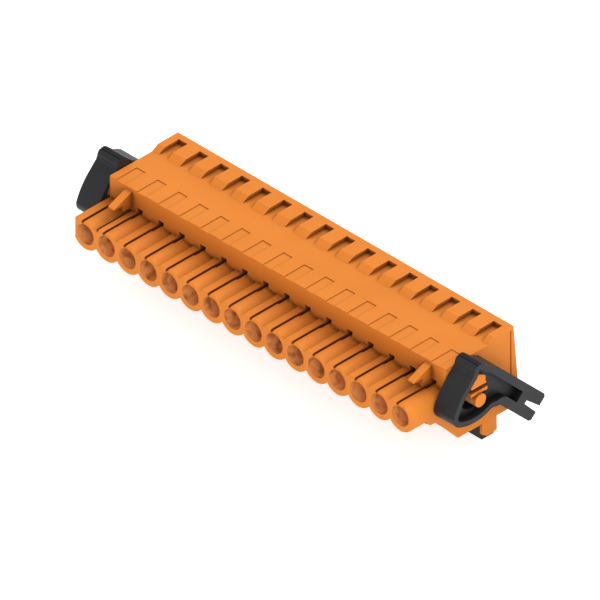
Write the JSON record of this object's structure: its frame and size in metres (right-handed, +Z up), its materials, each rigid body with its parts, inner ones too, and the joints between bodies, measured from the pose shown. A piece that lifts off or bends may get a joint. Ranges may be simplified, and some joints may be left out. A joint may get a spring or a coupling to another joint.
{
  "type": "pluggable terminal block",
  "caption": "Long pluggable terminal block with a row of round wire entries, spring clamps inside and a release lever at each end.",
  "frame": {"origin": "middle of the mating face, at the height of the contacts' axis", "axes": "+X along the row, +Y in the plugging direction, +Z up"},
  "size_m": [0.0914, 0.0274, 0.0217],
  "materials": {
    "orange_plastic": "satin moulded polyamide",
    "black_plastic": "satin moulded",
    "contact_metal": "tin-plated copper alloy",
    "spring_steel": "bright spring steel"
  },
  "bodies": {
    "body": {"housing": "orange_plastic", "rear_cover": "orange_plastic", "foot_insert_left": "black_plastic", "foot_insert_right": "black_plastic", "contact_01": "contact_metal", "contact_02": "contact_metal", "contact_03": "contact_metal", "contact_04": "contact_metal", "contact_05": "contact_metal", "contact_06": "contact_metal", "contact_07": "contact_metal", "contact_08": "contact_metal", "contact_09": "contact_metal", "contact_10": "contact_metal", "contact_11": "contact_metal", "contact_12": "contact_metal", "contact_13": "contact_metal", "contact_14": "contact_metal", "contact_15": "contact_metal", "contact_16": "contact_metal", "clamp_spring_01": "spring_steel", "clamp_spring_02": "spring_steel", "clamp_spring_03": "spring_steel", "clamp_spring_04": "spring_steel", "clamp_spring_05": "spring_steel", "clamp_spring_06": "spring_steel", "clamp_spring_07": "spring_steel", "clamp_spring_08": "spring_steel", "clamp_spring_09": "spring_steel", "clamp_spring_10": "spring_steel", "clamp_spring_11": "spring_steel", "clamp_spring_12": "spring_steel", "clamp_spring_13": "spring_steel", "clamp_spring_14": "spring_steel", "clamp_spring_15": "spring_steel", "clamp_spring_16": "spring_steel"},
    "left_lever": {"lever_left": "black_plastic"},
    "right_lever": {"lever_right": "black_plastic"}
  },
  "joints": [
    {"name": "left_lever_hinge", "type": "hinge", "parent": "body", "child": "left_lever", "pos_m": [-0.04325, -0.0145, 0.0071], "axis": [1, 0, 0], "range_deg": [0, 45]},
    {"name": "right_lever_hinge", "type": "hinge", "parent": "body", "child": "right_lever", "pos_m": [0.04325, -0.0145, 0.0071], "axis": [1, 0, 0], "range_deg": [0, 45]}
  ]
}
